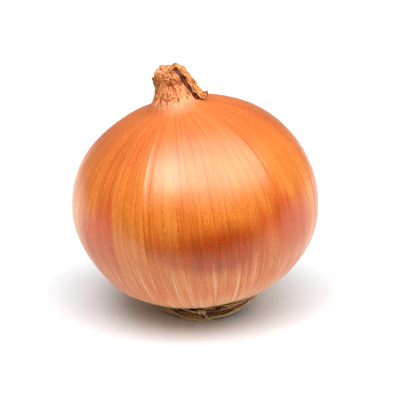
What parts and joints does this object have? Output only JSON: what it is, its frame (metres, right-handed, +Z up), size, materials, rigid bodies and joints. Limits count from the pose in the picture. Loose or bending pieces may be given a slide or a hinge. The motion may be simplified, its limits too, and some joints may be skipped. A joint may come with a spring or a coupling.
{
  "type": "onion",
  "caption": "Round brown onion with a dry papery neck, standing upright on a flattened tuft of dry roots.",
  "frame": {"origin": "middle of the flat spot under the roots, on the surface that the onion rests on", "axes": "+Z up; the neck leans towards -X; the side seen in the reference view faces -Y"},
  "size_m": [0.0819, 0.082, 0.087],
  "materials": {
    "onion_skin": "satin",
    "dry_leaf": "matte",
    "dry_root": "matte"
  },
  "bodies": {
    "root": {"bulb": "onion_skin", "neck_leaf": "dry_leaf", "roots": "dry_root"}
  },
  "joints": []
}
